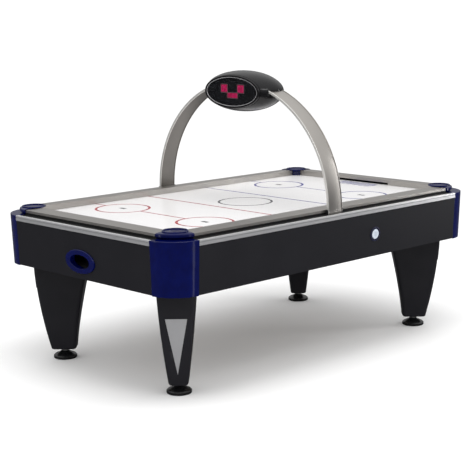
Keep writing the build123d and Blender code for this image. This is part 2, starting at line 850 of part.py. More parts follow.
bezel_semi_axes = (209.0, 90.0)
with BuildPart() as face_bezel:
    with BuildSketch(Plane.YZ.offset(board_half_depth + gap)):
        with Locations((0, board_height)):
            Ellipse(*bezel_semi_axes)
    extrude(amount=bezel_depth)
    fillet(face_bezel.edges().sort_by(Axis.X)[-1], radius=6)
    with BuildSketch(Plane.YZ.offset(board_half_depth + gap)):
        with Locations((0, board_height)):
            Ellipse(window_semi_axes[0] + 0.3, window_semi_axes[1] + 0.3)
    extrude(amount=bezel_depth, mode=Mode.SUBTRACT)
write_mirrored(face_bezel, "face_bezel", Plane.YZ, "blue", "red")

with BuildPart() as face_window:
    with BuildSketch(Plane.YZ.offset(board_half_depth + 4)):
        with Locations((0, board_height)):
            Ellipse(*window_semi_axes)
    extrude(amount=3)
write_mirrored(face_window, "face_window", Plane.YZ, "blue", "red")

display_size = (300.0, 104.0)
display_thickness = 2.0
display_x = board_half_depth - 15
score_size = (50.0, 44.0)
clock_size = (80.0, 29.0)
with BuildPart() as display:
    with BuildSketch(Plane.YZ.offset(display_x)):
        with Locations((0, board_height)):
            Rectangle(*display_size)
    extrude(amount=display_thickness)
    with BuildSketch(Plane.YZ.offset(display_x + display_thickness)):
        with Locations((63, board_height + 16), (-63, board_height + 16)):
            Rectangle(*score_size)
        with Locations((0, board_height - 20.5)):
            Rectangle(*clock_size)
    extrude(amount=14)
write_mirrored(display, "led_display", Plane.YZ, "blue", "red")
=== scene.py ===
import json
import math

import bmesh
import bpy
import numpy as np
from mathutils import Matrix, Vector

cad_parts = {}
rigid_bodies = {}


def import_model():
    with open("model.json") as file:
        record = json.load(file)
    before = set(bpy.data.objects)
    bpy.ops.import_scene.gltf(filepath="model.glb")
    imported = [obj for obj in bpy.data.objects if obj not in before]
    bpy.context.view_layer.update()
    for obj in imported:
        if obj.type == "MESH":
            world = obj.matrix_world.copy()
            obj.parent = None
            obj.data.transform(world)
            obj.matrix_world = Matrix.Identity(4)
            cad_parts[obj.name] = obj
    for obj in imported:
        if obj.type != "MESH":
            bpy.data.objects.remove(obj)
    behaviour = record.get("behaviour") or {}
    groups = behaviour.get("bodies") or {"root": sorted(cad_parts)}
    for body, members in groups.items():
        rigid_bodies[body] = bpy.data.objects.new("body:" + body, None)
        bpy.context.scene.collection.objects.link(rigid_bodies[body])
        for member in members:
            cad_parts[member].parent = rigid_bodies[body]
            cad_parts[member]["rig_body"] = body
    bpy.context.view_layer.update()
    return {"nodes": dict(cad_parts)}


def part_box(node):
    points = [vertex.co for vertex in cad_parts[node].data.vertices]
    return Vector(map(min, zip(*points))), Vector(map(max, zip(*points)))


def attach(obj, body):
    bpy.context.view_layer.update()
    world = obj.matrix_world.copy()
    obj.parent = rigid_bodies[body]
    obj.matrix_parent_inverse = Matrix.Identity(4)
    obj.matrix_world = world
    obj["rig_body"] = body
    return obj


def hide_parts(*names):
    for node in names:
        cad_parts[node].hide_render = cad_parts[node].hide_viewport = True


# An air hockey table: the finishes of its parts, the fine parts that the model of the frame
# leaves out, and a plain white studio. Lengths are in metres. X runs from the red end to the
# blue end, Y from the front to the back, and Z up.

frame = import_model()
nodes = frame["nodes"]

X, Y, Z = 0, 1, 2
CORNERS = ("back_blue", "back_red", "front_blue", "front_red")
ENDS = {"blue": 1.0, "red": -1.0}

# The arch is a flat band. It stands upright up to the spring height and then follows half an
# ellipse.
ARCH_HALF_THICKNESS = 0.007
ARCH_SPRING = 0.81


# ------------------------------------------------------------------------------------------
# Shader building
# ------------------------------------------------------------------------------------------
class Value:
    """A number in a shader. Arithmetic on it adds the Math nodes that work it out."""

    def __init__(self, tree, socket):
        self.tree = tree
        self.socket = socket

    def math(self, operation, *others):
        """Applies one Math operation to this value and the others."""
        terms = dict(enumerate((self, *others)))
        return self.tree.node("ShaderNodeMath", {"operation": operation}, terms)

    def __add__(self, other):
        return self.math("ADD", other)

    def __sub__(self, other):
        return self.math("SUBTRACT", other)

    def __rsub__(self, other):
        return self.math("MULTIPLY", -1.0).math("ADD", other)

    def __mul__(self, other):
        return self.math("MULTIPLY", other)

    def __pow__(self, other):
        return self.math("POWER", other)

    def __abs__(self):
        return self.math("ABSOLUTE")

    __radd__ = __add__
    __rmul__ = __mul__


class Tree:
    """A node tree that is being built."""

    def __init__(self, tree):
        self.tree = tree

    def node(self, kind, settings=None, inputs=None, output=0):
        """Adds a node, makes its settings, then gives its sockets values or links."""
        made = self.tree.nodes.new(kind)
        for name, setting in (settings or {}).items():
            if name == "stops":
                ramp = made.color_ramp.elements
                while len(ramp) < len(setting):
                    ramp.new(0.5)
                for stop, (position, color) in zip(ramp, setting):
                    stop.position = position
                    stop.color = (*color, 1.0)
            else:
                setattr(made, name, setting)
        for key, value in (inputs or {}).items():
            self.put(made.inputs[key], value)
        return Value(self, made.outputs[output])

    def put(self, socket, value):
        """Gives a socket a value, or links it to one that the shader works out."""
        if isinstance(value, Value):
            self.tree.links.new(value.socket, socket)
        elif socket.type == "RGBA":
            socket.default_value = (*value, 1.0)
        else:
            socket.default_value = value

    def mix(self, share, first, second):
        """Blends two colours: all first where share is 0, all second where it is 1."""
        settings = {"data_type": "RGBA"}
        return self.node("ShaderNodeMix", settings, {0: share, 6: first, 7: second}, output=2)


class Finish(Tree):
    """A material that is being built. Its uniform values go straight onto the shader."""

    def __init__(self, name, **uniform):
        self.material = bpy.data.materials.new(name)
        self.material.use_nodes = True
        super().__init__(self.material.node_tree)
        self.shader = self.tree.nodes["Principled BSDF"]
        for label, value in uniform.items():
            self.set(label.replace("_", " "), value)

    def set(self, label, value):
        """Sets or links one socket of the shader."""
        self.put(self.shader.inputs[label], value)

    def point(self):
        """The place on the object."""
        return self.node("ShaderNodeTexCoord", output="Object")

    def along(self, axis):
        """How far the place is along the axis X, Y or Z."""
        return self.node("ShaderNodeSeparateXYZ", None, {0: self.point()}, output=axis)

    def noise(self, scale, detail=2.0, stretch=(1.0, 1.0, 1.0)):
        """Random mottling from 0 to 1, about 1 / scale metres across."""
        stretched = self.node(
            "ShaderNodeMapping", None, {"Vector": self.point(), "Scale": stretch}
        )
        inputs = {"Vector": stretched, "Scale": scale, "Detail": detail}
        return self.node("ShaderNodeTexNoise", None, inputs)

    def draw_lines(self, scale, axis):
        """Long fine lines along one axis, as a die or a brush leaves on metal."""
        stretch = [1.0, 1.0, 1.0]
        stretch[axis] = 0.012
        return self.noise(scale, 4.0, tuple(stretch))

    def between(self, value, low, high):
        """Rises smoothly from 0 to 1 as the value goes from low to high."""
        settings = {"interpolation_type": "SMOOTHSTEP"}
        return self.node("ShaderNodeMapRange", settings, {0: value, 1: low, 2: high})

    def stripe(self, distance, half_width, softness=0.0006):
        """1 within half_width of where the distance is 0, fading out over the softness."""
        return 1 - self.between(abs(distance), half_width, half_width + softness)

    def bump(self, height, distance, strength=1.0):
        """Raises the surface by the height times the distance."""
        inputs = {"Height": height, "Distance": distance, "Strength": strength}
        self.set("Normal", self.node("ShaderNodeBump", None, inputs))

    def shade(self, dark, light, share):
        """Colours the surface between two tones of the same finish."""
        self.set("Base Color", self.mix(share, dark, light))

    def spread_roughness(self, middle, spread, share):
        """Lets the roughness wander by the spread on both sides of the middle."""
        self.set("Roughness", middle - spread + share * (2 * spread))


# ------------------------------------------------------------------------------------------
# Finishes
# ------------------------------------------------------------------------------------------
def satin_black(name, dark, light, roughness, grain=900.0, depth=0.00006):
    """Black laminate or lacquer with a fine pebble and faint handling marks."""
    finish = Finish(name, Specular_IOR_Level=0.26)
    handling = finish.noise(7.0, 4.0)
    finish.shade(dark, light, handling)
    finish.spread_roughness(roughness, 0.06, handling)
    finish.bump(finish.noise(grain, 3.0), depth)
    return finish.material


def gloss_blue():
    """Deep blue moulded plastic, polished, with a slight ripple and a trace of dust."""
    finish = Finish("gloss_blue", Specular_IOR_Level=0.34)
    ripple = finish.noise(22.0, 1.0)
    dust = finish.between(finish.noise(420.0, 5.0), 0.66, 0.78)
    navy, bright_navy = (0.0002, 0.0012, 0.034), (0.0004, 0.0030, 0.062)
    dusty_blue = (0.05, 0.07, 0.18)
    tone = finish.mix(ripple, navy, bright_navy)
    finish.set("Base Color", finish.mix(dust * 0.06, tone, dusty_blue))
    finish.set("Roughness", 0.10 + dust * 0.16)
    finish.bump(ripple, 0.0010, 0.5)
    return finish.material


DRAW_SCALE = 620.0
DRAW_DEPTH = 0.00003


def drawn_metal(name, tone, axis, roughness, metallic=1.0):
    """Anodised metal with fine draw lines along one axis."""
    finish = Finish(name, Metallic=metallic)
    lines = finish.draw_lines(DRAW_SCALE, axis)
    cloud = finish.noise(5.0, 3.0)
    dark = tuple(0.90 * part for part in tone)
    light = tuple(min(1.0, 1.06 * part) for part in tone)
    finish.shade(dark, light, lines * 0.7 + cloud * 0.3)
    finish.spread_roughness(roughness, 0.07, lines)
    finish.bump(lines, DRAW_DEPTH)
    return finish.material


def trim_metal(name, axis, node):
    """Trim strip drawn along one axis, with a painted highlight on its upper lip and a soft line
    of painted shade under it.

    Both lie at a share of the height of the node's box, 0 at its foot and 1 at its top.
    """
    finish = Finish(name, Metallic=0.8)
    low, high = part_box(node)
    height = (finish.along(Z) - low.z) * (1 / (high.z - low.z))
    # Painted light: a highlight band along the upper lip and a line of shade below it, both mixed
    # into the colour.
    lip_foot, lip_full = 0.72, 0.78
    line_middle, line_half_width, line_softness = 0.62, 0.05, 0.06
    lines = finish.draw_lines(DRAW_SCALE, axis)
    tone = finish.mix(lines, (0.60, 0.60, 0.61), (0.72, 0.72, 0.73))
    lip = finish.between(height, lip_foot, lip_full)
    line = finish.stripe(height - line_middle, line_half_width, line_softness)
    tone = finish.mix(lip * 0.8, tone, (0.90, 0.90, 0.91))
    finish.set("Base Color", finish.mix(line * 0.5, tone, (0.30, 0.30, 0.31)))
    finish.spread_roughness(0.34, 0.07, lines)
    finish.bump(lines, DRAW_DEPTH)
    return finish.material


def arch_metal():
    """Champagne anodised metal, drawn along the arch, with a painted highlight along both side
    edges.

    The face under the arch is painted darker than the one above, as painted shade. It lies inside
    the ellipse of the arch's middle, where the squares of y over the half span and of the height
    above the spring over the rise add up to less than 1.
    """
    finish = Finish("arch_metal")
    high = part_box("arch")[1]
    half_width = high.x
    above_spring = (finish.along(Z) - ARCH_SPRING).math("MAXIMUM", 0.0)
    across = finish.along(Y) * (1 / (high.y - ARCH_HALF_THICKNESS))
    upwards = above_spring * (1 / (high.z - ARCH_HALF_THICKNESS - ARCH_SPRING))
    outer = finish.between(across**2 + upwards**2, 0.996, 1.004)
    # Painted highlight: a lighter, less metallic band along both side edges, standing in for
    # light that the edges catch.
    edge_width, edge_softness = 0.0025, 0.001
    edge_start = half_width - edge_width - edge_softness
    edge = finish.between(abs(finish.along(X)), edge_start, edge_start + edge_softness)
    lines = finish.noise(700.0, 3.0, (1.0, 0.02, 0.02))
    cloud = finish.noise(5.0, 3.0)
    grain = lines * 0.6 + cloud * 0.4
    top = finish.mix(grain, (0.46, 0.435, 0.405), (0.56, 0.535, 0.505))
    # Painted shade: the face under the arch gets a darker copy of the same metal's tone.
    painted_shade_underside = finish.mix(grain, (0.185, 0.174, 0.162), (0.225, 0.214, 0.198))
    tone = finish.mix(outer, painted_shade_underside, top)
    finish.set("Base Color", finish.mix(edge, tone, (0.72, 0.71, 0.68)))
    finish.set("Metallic", 1.0 - edge * 0.30)
    finish.spread_roughness(0.34, 0.06, lines)
    finish.bump(lines, DRAW_DEPTH)
    return finish.material


def printed_playfield():
    """Glossy white laminate with the rink's printed lines and a grid of drilled air holes.

    Each line is where a distance is small: the distance from a circle is the distance from its
    middle less its radius, and a straight line is a distance along X. Folding X and Y about the
    middle of the table repeats a mark at both ends and on both sides.
    """
    finish = Finish("printed_playfield", Specular_IOR_Level=0.30)
    red = (0.36, 0.016, 0.028)
    blue = (0.022, 0.030, 0.24)
    grey = (0.045, 0.045, 0.052)
    circle_x, circle_y, circle_radius = 0.6024, 0.323, 0.143
    dot_half_length, dot_half_width = 0.012, 0.022
    zone_line_x, centre_radius = 0.2253, 0.1455
    ring_line, face_off_line, zone_line, centre_line = 0.0066, 0.0052, 0.0062, 0.0064
    x, y = finish.along(X), finish.along(Y)
    far_x, far_y = abs(x) - circle_x, abs(y) - circle_y
    from_circle = (far_x**2 + far_y**2) ** 0.5
    from_middle = (x**2 + y**2) ** 0.5
    ring = finish.stripe(from_circle - circle_radius, ring_line)
    dot = finish.stripe(far_x, dot_half_length) * finish.stripe(far_y, dot_half_width)
    outside = finish.between(from_circle, circle_radius, circle_radius + 0.001)
    face_off = finish.stripe(far_x, face_off_line) * outside
    zone = finish.stripe(abs(x) - zone_line_x, zone_line)
    centre_ring = finish.stripe(from_middle - centre_radius, centre_line)
    crease = goal_crease(finish, x, y)
    coloured = (ring + face_off + zone + crease).math("MINIMUM", 1.0)
    dark = (dot + centre_ring).math("MINIMUM", 1.0)

    cloud = finish.noise(3.0, 3.0)
    white = finish.mix(cloud, (0.77, 0.76, 0.76), (0.80, 0.79, 0.79))
    ink = finish.mix(finish.between(x, -0.001, 0.001), red, blue)
    printed = finish.mix(coloured * 0.96, white, ink)
    printed = finish.mix(dark * 0.92, printed, grey)
    pitch, hole_radius, hole_edge = 0.0254, 0.0008, 0.0003
    hole_x = (x + pitch / 2).math("PINGPONG", pitch / 2)
    hole_y = (y + pitch / 2).math("PINGPONG", pitch / 2)
    from_hole = (hole_x**2 + hole_y**2) ** 0.5
    hole = 1 - finish.between(from_hole, hole_radius, hole_radius + hole_edge)
    finish.set("Base Color", finish.mix(hole * 0.9, printed, (0.03, 0.03, 0.03)))
    scuffs = finish.between(finish.noise(90.0, 6.0, (1.0, 0.05, 1.0)), 0.58, 0.75)
    finish.set("Roughness", 0.16 + scuffs * 0.10 + hole * 0.5)
    finish.bump(1 - hole, 0.0006, 0.6)
    return finish.material


def goal_crease(finish, x, y):
    """Slanted bars side by side in front of each goal: 1 on a bar and 0 beside it."""
    bar_pitch, lean, lean_origin = 0.046, 0.55, 0.95
    near_end, far_end, end_softness = 0.888, 0.990, 0.002
    half_span, span_softness = 0.138, 0.003
    bar_half_width, bar_softness = 0.0105, 0.001
    depth = abs(x)
    bars = (y + (depth - lean_origin) * lean).math("PINGPONG", bar_pitch / 2)
    started = finish.between(depth, near_end, near_end + end_softness)
    unfinished = 1 - finish.between(depth, far_end, far_end + end_softness)
    across = 1 - finish.between(abs(y), half_span, half_span + span_softness)
    on_bar = 1 - finish.between(bars, bar_half_width, bar_half_width + bar_softness)
    return on_bar * (started * unfinished) * across


def levelling_foot_finish():
    """Moulded black pad and cone below, zinc plated stem above: they meet at one height."""
    finish = Finish("levelling_foot_finish")
    stem_foot, thread_frequency = 0.0405, 4000.0
    height = finish.along(Z)
    steel = finish.between(height, stem_foot, stem_foot + 0.0004)
    thread = (height * thread_frequency).math("SINE")
    marks = finish.noise(260.0, 4.0)
    black = finish.mix(marks, (0.004, 0.004, 0.0045), (0.009, 0.009, 0.010))
    zinc = finish.mix(marks, (0.42, 0.42, 0.41), (0.56, 0.56, 0.54))
    finish.set("Base Color", finish.mix(steel, black, zinc))
    finish.set("Metallic", steel)
    finish.set("Roughness", 0.20 + marks * 0.12 + steel * 0.10)
    finish.bump(thread * steel + marks * 0.2, 0.0004, 0.6)
    return finish.material


def ply():
    """Birch plywood: long grain on the faces, thin dark and light plies at the cut edges."""
    finish = Finish("ply", Specular_IOR_Level=0.3)
    grain = finish.noise(60.0, 6.0, (0.06, 1.0, 1.0))
    ply_frequency = 2200.0
    plies = (finish.along(Z) * ply_frequency).math("SINE") * 0.5 + 0.5
    share = grain * 0.75 + plies * 0.25
    finish.shade((0.115, 0.085, 0.060), (0.235, 0.190, 0.145), share)
    finish.spread_roughness(0.68, 0.08, grain)
    finish.bump(grain, 0.0003, 0.5)
    return finish.material


def moulded(name, tone, roughness=0.5, depth=0.00008):
    """Moulded plastic with a fine spark-eroded texture."""
    finish = Finish(name, Specular_IOR_Level=0.45)
    grain = finish.noise(1100.0, 3.0)
    cloud = finish.noise(14.0, 3.0)
    finish.shade(tuple(0.86 * part for part in tone), tuple(1.12 * part for part in tone), cloud)
    finish.spread_roughness(roughness, 0.07, cloud)
    finish.bump(grain, depth)
    return finish.material


def powder_coat(name, tone, roughness=0.42):
    """Sheet metal with a sprayed coat: a soft orange peel under the gloss."""
    finish = Finish(name, Specular_IOR_Level=0.45)
    peel = finish.noise(340.0, 2.0)
    cloud = finish.noise(9.0, 3.0)
    finish.shade(tuple(0.85 * part for part in tone), tuple(1.15 * part for part in tone), cloud)
    finish.spread_roughness(roughness, 0.05, peel)
    finish.bump(peel, 0.00022, 0.6)
    return finish.material


def piano_black():
    """Polished black plastic, with a faint long ripple and fine dust."""
    finish = Finish("piano_black", Specular_IOR_Level=0.36)
    ripple = finish.noise(16.0, 1.0)
    dust = finish.between(finish.noise(520.0, 5.0), 0.67, 0.80)
    tone = finish.mix(ripple, (0.0030, 0.0030, 0.0036), (0.0070, 0.0070, 0.0078))
    finish.set("Base Color", finish.mix(dust * 0.10, tone, (0.16, 0.16, 0.17)))
    finish.set("Roughness", 0.16 + dust * 0.2)
    finish.bump(ripple, 0.0005, 0.3)
    return finish.material


def smoked_sheet():
    """Smoked acrylic: a dark tint that what lies behind still shows through."""
    finish = Finish("smoked_sheet", Specular_IOR_Level=0.5)
    cloud = finish.noise(20.0, 2.0)
    finish.shade((0.004, 0.005, 0.006), (0.009, 0.009, 0.011), cloud)
    finish.spread_roughness(0.08, 0.02, cloud)
    finish.set("Alpha", 0.50 + cloud * 0.08)
    return finish.material


def display_board():
    """Black circuit board with a faint grid of tracks, seen through the smoked window."""
    finish = Finish("display_board", Specular_IOR_Level=0.4)
    half_pitch, track_width = 0.004, 0.0006
    from_upright = finish.along(Y).math("PINGPONG", half_pitch)
    from_level = finish.along(Z).math("PINGPONG", half_pitch)
    upright = 1 - finish.between(from_upright, 0.0, track_width)
    level = 1 - finish.between(from_level, 0.0, track_width)
    share = (upright + level).math("MINIMUM", 1.0) * 0.5
    finish.shade((0.006, 0.007, 0.007), (0.016, 0.020, 0.019), share)
    finish.set("Roughness", 0.5 + finish.noise(200.0) * 0.2)
    return finish.material


def lit_plastic(name, tone, strength):
    """Plastic that glows with slightly uneven light in its red tint: the digits and their panels
    are lit from inside, and the number frames get a painted glow.
    """
    finish = Finish(name, Emission_Strength=strength, Roughness=0.4)
    cloud = finish.noise(60.0, 2.0)
    bright = tuple(min(1.0, 1.25 * part) for part in tone)
    glow = finish.mix(cloud, tuple(0.85 * part for part in tone), bright)
    finish.set("Emission Color", glow)
    finish.set("Base Color", finish.mix(cloud, (0.08, 0.002, 0.01), (0.13, 0.003, 0.02)))
    return finish.material


def start_button_finish():
    """Milky white cap with a faint grey disc in the middle of its face."""
    finish = Finish("start_button_finish", Specular_IOR_Level=0.5)
    low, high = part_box("start_button")
    middle = (low + high) / 2
    disc_radius, disc_softness = 0.0125, 0.0015
    ring_radius, ring_half_width = 0.0135, 0.0008
    dx, dz = finish.along(X) - middle.x, finish.along(Z) - middle.z
    radius = (dx**2 + dz**2) ** 0.5
    disc = 1 - finish.between(radius, disc_radius, disc_radius + disc_softness)
    ring = finish.stripe(radius - ring_radius, ring_half_width)
    cloud = finish.noise(90.0, 2.0)
    white = finish.mix(cloud, (0.50, 0.55, 0.64), (0.55, 0.60, 0.68))
    marked = finish.mix(disc * 0.45 + ring * 0.3, white, (0.34, 0.38, 0.45))
    finish.set("Base Color", marked)
    finish.set("Roughness", 0.24 + cloud * 0.08)
    finish.bump(disc, 0.0006, 0.4)
    return finish.material


def studio_floor():
    """Smooth white paper, with the faintest mottling. Polished parts mirror it as dim grey."""
    finish = Finish("studio_floor", Specular_IOR_Level=0.0, Roughness=1.0)
    mottling = finish.noise(1.5, 3.0)
    paper = finish.mix(mottling, (0.90, 0.90, 0.90), (0.92, 0.92, 0.92))
    mirrored = finish.node("ShaderNodeLightPath", output="Is Glossy Ray")
    finish.set("Base Color", finish.mix(mirrored, paper, (0.10, 0.10, 0.105)))
    return finish.material


SILVER = (0.46, 0.44, 0.415)

# The finishes, by the name that the table of parts below uses.
finishes = {
    "laminate": satin_black(
        "laminate", (0.0078, 0.0076, 0.0104), (0.0112, 0.0110, 0.0144), 0.46
    ),
    "lacquer": satin_black(
        "lacquer", (0.0105, 0.0102, 0.0128), (0.0155, 0.0152, 0.0184), 0.34, 500.0, 0.00003
    ),
    "ledge": satin_black("ledge", (0.0070, 0.0070, 0.0074), (0.0105, 0.0105, 0.0110), 0.42),
    "blue": gloss_blue(),
    "trim_long": trim_metal("trim_long", X, "side_trim_front"),
    "trim_short": trim_metal("trim_short", Y, "end_trim_red"),
    "rail_long": drawn_metal("rail_long", SILVER, X, 0.36),
    "rail_short": drawn_metal("rail_short", SILVER, Y, 0.36),
    "inlay": drawn_metal("inlay", (0.60, 0.60, 0.61), Z, 0.40, 0.65),
    "arch": arch_metal(),
    "ring": drawn_metal("ring_metal", (0.46, 0.46, 0.47), Y, 0.32, 0.5),
    # Painted light: the number frames glow though no lamp is in them, so that their pale outlines
    # show through the smoked window.
    "painted_glow_number_frame": lit_plastic("painted_glow_number_frame", (0.42, 0.30, 0.35), 0.8),
    "playfield": printed_playfield(),
    "foot": levelling_foot_finish(),
    "ply": ply(),
    "sheet": powder_coat("sheet", (0.012, 0.012, 0.013)),
    "blower": powder_coat("blower", (0.10, 0.10, 0.11)),
    "motor": powder_coat("motor", (0.16, 0.16, 0.18), 0.5),
    "zinc": drawn_metal("zinc", (0.60, 0.60, 0.58), Z, 0.40),
    "shaft": drawn_metal("shaft", (0.58, 0.58, 0.58), Y, 0.26),
    "impeller": moulded("impeller", (0.05, 0.05, 0.052)),
    "box": moulded("box", (0.20, 0.20, 0.21)),
    "inlet": moulded("inlet", (0.016, 0.016, 0.017), 0.42),
    "button_ring": moulded("button_ring", (0.010, 0.011, 0.032), 0.26, 0.00002),
    "button": start_button_finish(),
    "piano": piano_black(),
    "window": smoked_sheet(),
    "board": display_board(),
    "segments": lit_plastic("segments", (1.0, 0.020, 0.20), 3.2),
    "panel_glow": lit_plastic("panel_glow", (0.80, 0.002, 0.11), 1.25),
}

# The parts that have each finish.
dressing = {
    "laminate": ["front_panel", "back_panel", "end_panel_blue", "end_panel_red"],
    "lacquer": [f"leg_{corner}" for corner in CORNERS],
    "ledge": ["ledge_boards"],
    "blue": [f"corner_post_{corner}" for corner in CORNERS]
    + [f"corner_cap_{corner}" for corner in CORNERS]
    + ["return_bezel_blue", "return_bezel_red"],
    "trim_long": ["side_trim_back", "side_trim_front"],
    "trim_short": ["end_trim_blue", "end_trim_red"],
    "rail_long": ["side_rail_back", "side_rail_front"],
    "rail_short": ["end_rail_blue", "end_rail_red"],
    "inlay": [f"leg_inlay_{corner}" for corner in CORNERS],
    "arch": ["arch"],
    "playfield": ["playfield"],
    "foot": [f"levelling_foot_{corner}" for corner in CORNERS],
    "ply": ["corner_blocks", "cross_members", "air_box"],
    "sheet": ["goal_chute_blue", "goal_chute_red", "arch_sockets"],
    "blower": ["blower_housing"],
    "motor": ["blower_motor"],
    "zinc": ["leg_bolts"],
    "shaft": ["blower_shaft"],
    "impeller": ["blower_impeller"],
    "box": ["control_box"],
    "inlet": ["power_inlet"],
    "button_ring": ["button_bezel"],
    "button": ["start_button"],
    "piano": ["scoreboard_shell_upper", "scoreboard_shell_lower"]
    + ["face_bezel_blue", "face_bezel_red"],
    "window": ["face_window_blue", "face_window_red"],
    "board": ["led_display_blue", "led_display_red"],
}


def dress(piece, finish):
    """Puts a finish on every slot of a piece, or adds the slot."""
    if not piece.material_slots:
        piece.data.materials.append(finishes[finish])
    for slot in piece.material_slots:
        slot.material = finishes[finish]


for finish_name, members in dressing.items():
    for member in members:
        dress(nodes[member], finish_name)


# ------------------------------------------------------------------------------------------
# Shapes
# ------------------------------------------------------------------------------------------
def add_piece(mesh, finish, body="table", smooth_angle=35.0):
    """Turns a mesh into a piece of the table, with its finish and body."""
    mesh.validate()
    mesh.shade_smooth()
    mesh.set_sharp_from_angle(angle=math.radians(smooth_angle))
    piece = bpy.data.objects.new(mesh.name, mesh)
    bpy.context.scene.collection.objects.link(piece)
    dress(piece, finish)
    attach(piece, body)
    return piece


def turn_outwards(mesh):
    """Turns every face of a closed mesh outwards."""
    shape = bmesh.new()
    shape.from_mesh(mesh)
    bmesh.ops.recalc_face_normals(shape, faces=shape.faces)
    shape.to_mesh(mesh)
    shape.free()


def tube_mesh(name, rings, closed):
    """Joins rings of points, rings by points by 3, into a closed tube.

    Point j of ring i is joined to points j and j + 1 of ring i + 1. The last ring is joined to
    the first if the tube is closed, and otherwise both end rings become flat ends.
    """
    count, size, _ = rings.shape
    i, j = np.meshgrid(np.arange(count if closed else count - 1), np.arange(size), indexing="ij")
    i_next, j_next = (i + 1) % count, (j + 1) % size
    here, there = i * size, i_next * size
    quads = np.stack([here + j, here + j_next, there + j_next, there + j], -1)
    faces = quads.reshape(-1, 4).tolist()
    if not closed:
        faces += [list(range(size)), list(range((count - 1) * size, count * size))[::-1]]
    mesh = bpy.data.meshes.new(name)
    mesh.from_pydata(rings.reshape(-1, 3).tolist(), [], faces)
    turn_outwards(mesh)
    return mesh


def rounded_rectangle(width, height, radius, steps=4):
    """Points round a rectangle whose corners are quarter circles, centred on 0."""
    turn = np.linspace(0.0, math.pi / 2, steps)
    arc = radius * np.stack([np.cos(turn), np.sin(turn)], -1)
    corners = []
    for quarter, (sign_u, sign_v) in enumerate(((1, 1), (-1, 1), (-1, -1), (1, -1))):
        angle = quarter * math.pi / 2
        spin = np.array([[math.cos(angle), math.sin(angle)], [-math.sin(angle), math.cos(angle)]])
        middle = np.array([sign_u * (width / 2 - radius), sign_v * (height / 2 - radius)])
        corners.append(arc @ spin + middle)
    return np.concatenate(corners)


def carry(profile, path, across, up):
    """Carries a flat profile along a path: point + u * across + v * up at each step."""
    u, v = profile[:, 0][None, :, None], profile[:, 1][None, :, None]
    return path[:, None, :] + u * across[:, None, :] + v * up[:, None, :]


def elliptic_ring(name, x, facing, semi_y, semi_z, centre_z, profile, steps=160):
    """A closed band on an upright ellipse: its profile's u points out of it, v along facing."""
    turn = np.linspace(0.0, 2 * math.pi, steps, endpoint=False)
    zero = np.zeros_like(turn)
    path = np.stack([zero + x, semi_y * np.cos(turn), centre_z + semi_z * np.sin(turn)], -1)
    outwards = np.stack([zero, np.cos(turn) / semi_y, np.sin(turn) / semi_z], -1)
    outwards /= np.linalg.norm(outwards, axis=1, keepdims=True)
    ahead = np.stack([zero + facing, zero, zero], -1)
    return tube_mesh(name, carry(profile, path, outwards, ahead), True)


def join(name, meshes):
    """Makes one mesh out of several."""
    shape = bmesh.new()
    for mesh in meshes:
        shape.from_mesh(mesh)
        bpy.data.meshes.remove(mesh)
    joined = bpy.data.meshes.new(name)
    shape.to_mesh(joined)
    shape.free()
    return joined


MERGE_DISTANCE = 0.000005
FLAT_ANGLE = 0.5
EASED_ANGLE = 32.0


def refine(node, finish, width):
    """Replaces a part by a copy with merged triangles, smooth curves and eased edges.

    The copy's shape and place are the same, and only edges sharper than the eased angle get a
    narrow round, as wide as given.
    """
    body = nodes[node]["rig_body"]
    shape = bmesh.new()
    shape.from_mesh(nodes[node].data)
    bmesh.ops.remove_doubles(shape, verts=shape.verts, dist=MERGE_DISTANCE)
    bmesh.ops.dissolve_limit(
        shape,
        angle_limit=math.radians(FLAT_ANGLE),
        verts=shape.verts,
        edges=shape.edges,
        delimit={"SHARP"},
    )
    mesh = bpy.data.meshes.new(f"{node}_eased")
    shape.to_mesh(mesh)
    shape.free()
    piece = add_piece(mesh, finish, body, EASED_ANGLE)
    ease = piece.modifiers.new("eased_edges", "BEVEL")
    ease.width = width
    ease.segments = 2
    ease.limit_method = "ANGLE"
    ease.angle_limit = math.radians(EASED_ANGLE)
    ease.harden_normals = True
    ease.use_clamp_overlap = True
    flatten = piece.modifiers.new("flat_faces_stay_flat", "WEIGHTED_NORMAL")
    flatten.keep_sharp = True
    flatten.weight = 100
    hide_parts(node)


# ------------------------------------------------------------------------------------------
# Parts of the frame that get eased edges and smooth curves
# ------------------------------------------------------------------------------------------
eased = {
    "laminate": 0.0010,
    "lacquer": 0.0012,
    "ledge": 0.0008,
    "blue": 0.0010,
    "trim_long": 0.0005,
    "trim_short": 0.0005,
    "rail_long": 0.0006,
    "rail_short": 0.0006,
    "inlay": 0.0003,
    "foot": 0.0008,
    "button_ring": 0.0004,
    "button": 0.0005,
    "piano": 0.0006,
}
for finish_name, width in eased.items():
    for member in dressing[finish_name]:
        refine(member, finish_name, width)


# ------------------------------------------------------------------------------------------
# Arch: a crowned band between two raised lips
# ------------------------------------------------------------------------------------------
def arch_profile(half_width, half_thickness):
    """The band's section, u along X and v out of the arch.

    From lip to lip the outer and inner faces are crowned, v = depth + crown * (1 - (u/w)^2),
    and each lip is a rounded strip that stands above the face's edge.
    """
    lip, edge_drop, crown, radius = 0.0065, 0.0026, 0.0022, 0.0028
    face = np.linspace(-1.0, 1.0, 17)
    face_u = face * (half_width - lip)
    face_v = half_thickness - edge_drop + crown * (1 - face**2)
    turn = np.linspace(0.0, math.pi / 2, 5)
    corner_u = half_width - radius + radius * np.cos(turn)
    corner_v = half_thickness - radius + radius * np.sin(turn)
    lip_inner = np.array([[half_width - lip + 0.0006, half_thickness - 0.0002]])
    right_lip = np.concatenate([np.stack([corner_u, corner_v], -1), lip_inner])
    top_half = np.concatenate(
        [right_lip, np.stack([face_u[::-1], face_v[::-1]], -1), right_lip[::-1] * (-1, 1)]
    )
    return np.concatenate([top_half, top_half[::-1] * (1, -1)])


